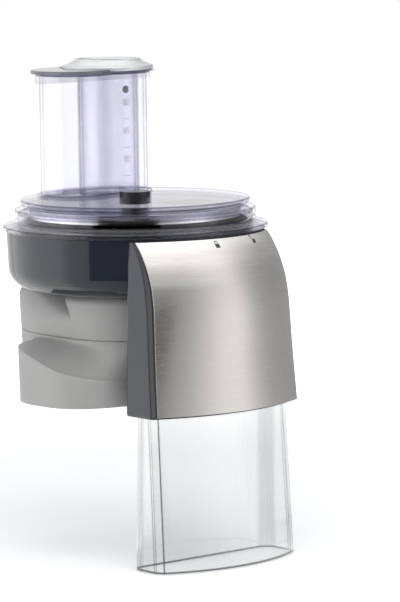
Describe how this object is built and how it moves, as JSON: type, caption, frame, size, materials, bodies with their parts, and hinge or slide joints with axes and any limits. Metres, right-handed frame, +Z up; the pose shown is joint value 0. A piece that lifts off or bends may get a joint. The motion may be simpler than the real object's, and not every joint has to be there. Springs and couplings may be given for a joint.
{
  "type": "continuous slicer attachment",
  "caption": "Food slicer with a clear lid and feed tube, two nested pushers, a slate bowl, a brushed steel discharge chute with clear extension, and a geared silver base.",
  "frame": {"origin": "on the drive axis, level with the underside of the base, at the mouth of the outlet socket", "axes": "+Z up along the drive axis, -Y towards the discharge chute, +X to the right of a person who faces the chute's back, so the small pusher is on the +X side"},
  "size_m": [0.1766, 0.1952, 0.3247],
  "materials": {
    "silver_plastic": "satin silver paint on a moulded shell",
    "dark_plastic": "fine moulded texture",
    "black_plastic": "plain",
    "slate_plastic": "high gloss",
    "pearl_plastic": "pearl silver",
    "clear_plastic": "clear, faint violet tint",
    "smoky_plastic": "smoky, half clear",
    "nylon": "natural nylon",
    "rubber": "matt",
    "brushed_steel": "brushed across the chute",
    "disc_steel": "turned",
    "machined_steel": "machined",
    "screw_steel": "zinc plated",
    "cast_alloy": "as cast",
    "bronze": "sintered"
  },
  "bodies": {
    "base": {"base_lower_shell": "silver_plastic", "base_upper_shell": "silver_plastic", "base_plate": "dark_plastic", "base_screws": "screw_steel", "rubber_pads": "rubber", "gear_case": "cast_alloy", "gear_case_cover": "cast_alloy", "cover_screws": "screw_steel", "ring_gear": "nylon", "lower_bush": "bronze", "upper_bush": "bronze"},
    "spindle": {"planet_pins": "machined_steel", "planet_carrier": "machined_steel", "output_shaft": "machined_steel", "shaft_circlip": "screw_steel", "disc_hub": "black_plastic", "cutting_disc": "disc_steel", "slicing_blade": "disc_steel", "blade_rivets": "machined_steel"},
    "input": {"input_coupling": "machined_steel", "input_shaft": "machined_steel", "sun_gear": "machined_steel"},
    "planet_1": {"planet_gear_1": "nylon"},
    "planet_2": {"planet_gear_2": "nylon"},
    "planet_3": {"planet_gear_3": "nylon"},
    "bowl": {"bowl": "slate_plastic", "chute_housing": "slate_plastic", "panel_trim": "black_plastic", "steel_panel": "brushed_steel", "shaft_seal": "rubber"},
    "extension": {"chute_extension": "clear_plastic"},
    "lid": {"lid": "clear_plastic", "lid_bush": "dark_plastic", "feed_tube": "clear_plastic"},
    "large_pusher": {"large_pusher": "clear_plastic", "pusher_plate": "smoky_plastic"},
    "small_pusher": {"small_pusher": "clear_plastic", "pusher_cap": "pearl_plastic"}
  },
  "joints": [
    {"name": "bowl_turn", "type": "hinge", "parent": "base", "child": "bowl", "pos_m": [0, 0, 0.0725], "axis": [0, 0, 1], "range_deg": [0, 15]},
    {"name": "lid_turn", "type": "hinge", "parent": "bowl", "child": "lid", "pos_m": [0, 0, 0.111], "axis": [0, 0, 1], "range_deg": [0, 25]},
    {"name": "large_pusher_slide", "type": "slide", "parent": "lid", "child": "large_pusher", "axis": [0, 0, 1], "range_m": [0, 0.08]},
    {"name": "small_pusher_slide", "type": "slide", "parent": "large_pusher", "child": "small_pusher", "axis": [0, 0, 1], "range_m": [0, 0.08]},
    {"name": "extension_slide", "type": "slide", "parent": "bowl", "child": "extension", "axis": [0, 0, -1], "range_m": [0, 0.016]},
    {"name": "output_spin", "type": "hinge", "parent": "base", "child": "spindle", "pos_m": [0, 0, 0.06], "axis": [0, 0, 1], "continuous": true},
    {"name": "input_spin", "type": "hinge", "parent": "base", "child": "input", "pos_m": [0, 0, 0.02], "axis": [0, 0, 1], "continuous": true},
    {"name": "planet_1_spin", "type": "hinge", "parent": "spindle", "child": "planet_1", "pos_m": [0, 0.01875, 0.029], "axis": [0, 0, 1], "continuous": true},
    {"name": "planet_2_spin", "type": "hinge", "parent": "spindle", "child": "planet_2", "pos_m": [-0.01624, -0.00937, 0.029], "axis": [0, 0, 1], "continuous": true},
    {"name": "planet_3_spin", "type": "hinge", "parent": "spindle", "child": "planet_3", "pos_m": [0.01624, -0.00937, 0.029], "axis": [0, 0, 1], "continuous": true}
  ],
  "couplings": [
    {"joint": "input_spin", "follows": "output_spin", "ratio": 5},
    {"joint": "planet_1_spin", "follows": "output_spin", "ratio": -2.6667},
    {"joint": "planet_2_spin", "follows": "output_spin", "ratio": -2.6667},
    {"joint": "planet_3_spin", "follows": "output_spin", "ratio": -2.6667}
  ]
}
